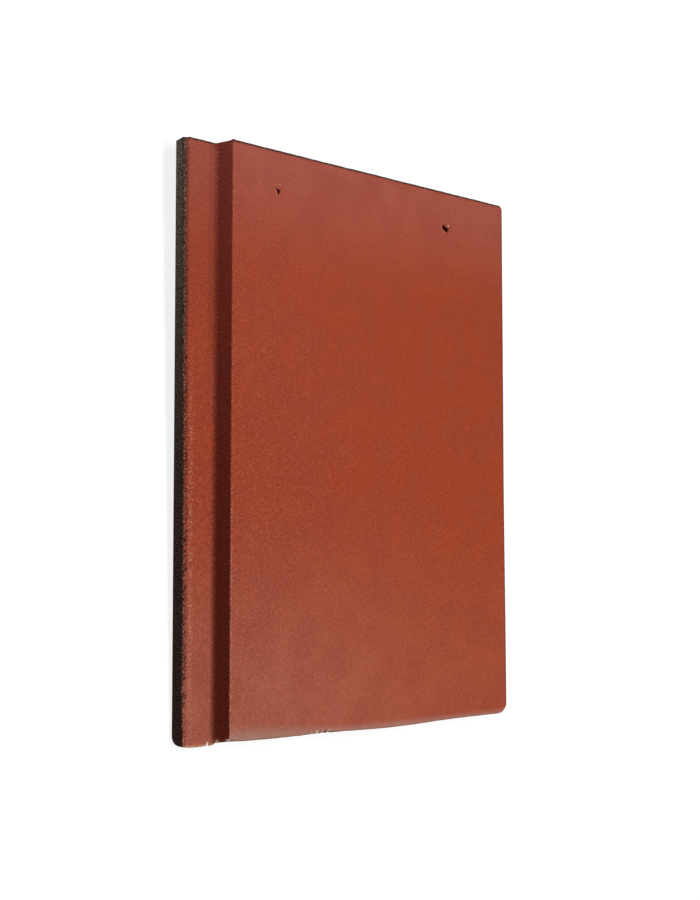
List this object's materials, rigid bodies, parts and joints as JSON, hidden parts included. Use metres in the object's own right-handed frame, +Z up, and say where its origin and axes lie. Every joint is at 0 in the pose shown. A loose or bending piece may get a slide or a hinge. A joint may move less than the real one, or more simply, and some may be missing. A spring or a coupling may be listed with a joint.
{
  "type": "flat interlocking roof tile",
  "caption": "Flat rectangular roof tile with an underlock flange along one side, an overlock edge along the other, nail holes, hanging nibs and weather bars.",
  "frame": {"origin": "under the middle of the tile, on the plane of the tips of the nibs", "axes": "+X across the tile from the underlock to the overlock, +Y from the nose to the head, +Z up out of the face"},
  "size_m": [0.33, 0.42, 0.036],
  "materials": {
    "coated_concrete": "red coat with a fine sandy grain over raw dark grey concrete on the sides, ends and underside"
  },
  "bodies": {
    "root": {"tile": "coated_concrete"}
  },
  "joints": []
}
